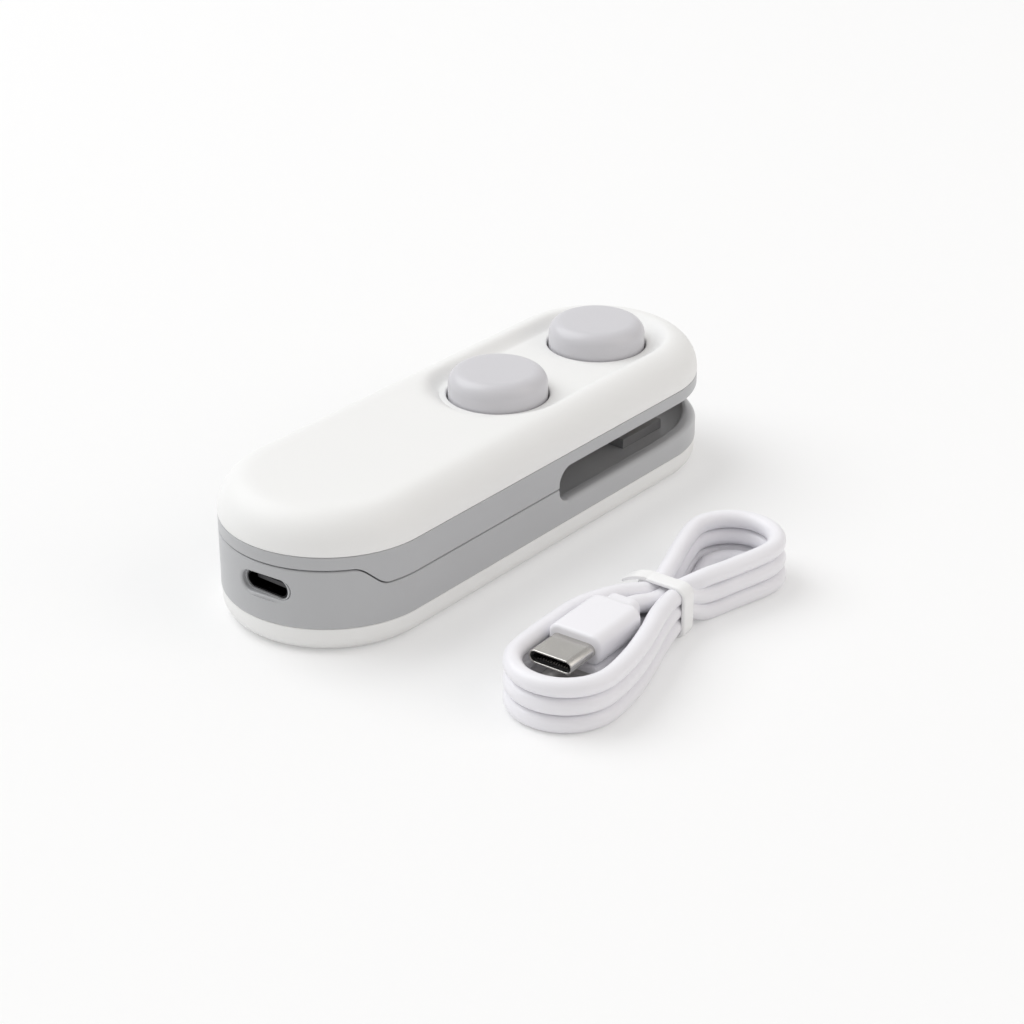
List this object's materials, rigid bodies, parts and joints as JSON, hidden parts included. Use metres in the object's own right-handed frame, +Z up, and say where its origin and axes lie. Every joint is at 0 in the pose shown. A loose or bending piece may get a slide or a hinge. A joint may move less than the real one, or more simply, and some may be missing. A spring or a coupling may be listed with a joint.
{
  "type": "handheld bag heat sealer",
  "caption": "Handheld bag sealer with an open C-shaped jaw, a heat-sealing push button, a cutting push button, a rear charging port and a tied charging lead.",
  "frame": {"origin": "under the middle of the housing, on the surface it stands on", "axes": "+X from the charging port to the open jaws, +Z up towards the buttons, +Y across the housing to complete a right-handed set"},
  "size_m": [0.112, 0.0805, 0.0278],
  "materials": {
    "cover_white": "satin moulded",
    "body_grey": "fine satin moulded",
    "button_grey": "fine satin moulded",
    "head_phenolic": "moulded",
    "steel": "zinc plated",
    "heater_metal": "rolled strip",
    "ptfe": "coated glass cloth",
    "spring_steel": "drawn wire",
    "carrier_black": "moulded",
    "blade_steel": "ground",
    "silicone": "matt",
    "anvil": "moulded",
    "battery_wrap": "foil pouch",
    "wire_red": "insulated",
    "board_green": "solder mask",
    "chips": "moulded",
    "socket_black": "moulded",
    "switch_ivory": "moulded",
    "wire_white": "silicone insulated",
    "lead_jacket": "soft sheath",
    "lead_strap": "flat strap",
    "plug_steel": "nickel plated",
    "plug_grip": "soft overmould"
  },
  "bodies": {
    "housing": {"bottom_cover": "cover_white", "lower_shell": "body_grey", "upper_shell": "body_grey", "top_cover": "cover_white", "sealing_pad": "silicone", "cutting_anvil": "anvil", "battery_cell": "battery_wrap", "battery_leads": "wire_red", "main_board": "board_green", "board_components": "chips", "board_screws": "steel", "usb_receptacle": "plug_steel", "usb_tongue": "socket_black", "switch_board": "board_green", "tact_switch": "chips", "heater_leads": "wire_white", "case_screws": "steel", "jaw_screws": "steel", "arm_screw": "steel", "seal_spring": "spring_steel", "cut_spring": "spring_steel"},
    "seal_plunger": {"seal_button": "button_grey", "seal_head": "head_phenolic", "seal_guide_pins": "steel", "heater_strip": "heater_metal", "ptfe_film": "ptfe"},
    "cut_plunger": {"cut_button": "button_grey", "blade_carrier": "carrier_black", "cut_guide_pins": "steel", "cutter_blade": "blade_steel"},
    "switch_pin": {"switch_plunger": "switch_ivory"},
    "charging_lead": {"lead_hank": "lead_jacket", "lead_tails": "lead_jacket", "lead_tie": "lead_strap", "plug_a_shell": "plug_steel", "plug_a_grip": "plug_grip", "plug_b_shell": "plug_steel", "plug_b_grip": "plug_grip"}
  },
  "joints": [
    {"name": "seal_press", "type": "slide", "parent": "housing", "child": "seal_plunger", "axis": [0, 0, -1], "range_m": [0, 0.0032], "stiffness_N_per_m": 400, "springref_m": -0.004, "deforming": ["seal_spring"]},
    {"name": "cut_press", "type": "slide", "parent": "housing", "child": "cut_plunger", "axis": [0, 0, -1], "range_m": [0, 0.0032], "stiffness_N_per_m": 400, "springref_m": -0.004, "deforming": ["cut_spring"]},
    {"name": "switch_press", "type": "slide", "parent": "housing", "child": "switch_pin", "axis": [0, 0, -1], "range_m": [0, 0.00032]},
    {"name": "lead_lift", "type": "slide", "parent": "housing", "child": "charging_lead", "axis": [0, 0, 1], "range_m": [0, 0.03]}
  ],
  "couplings": [
    {"joint": "switch_press", "follows": "seal_press", "ratio": 0.1}
  ]
}
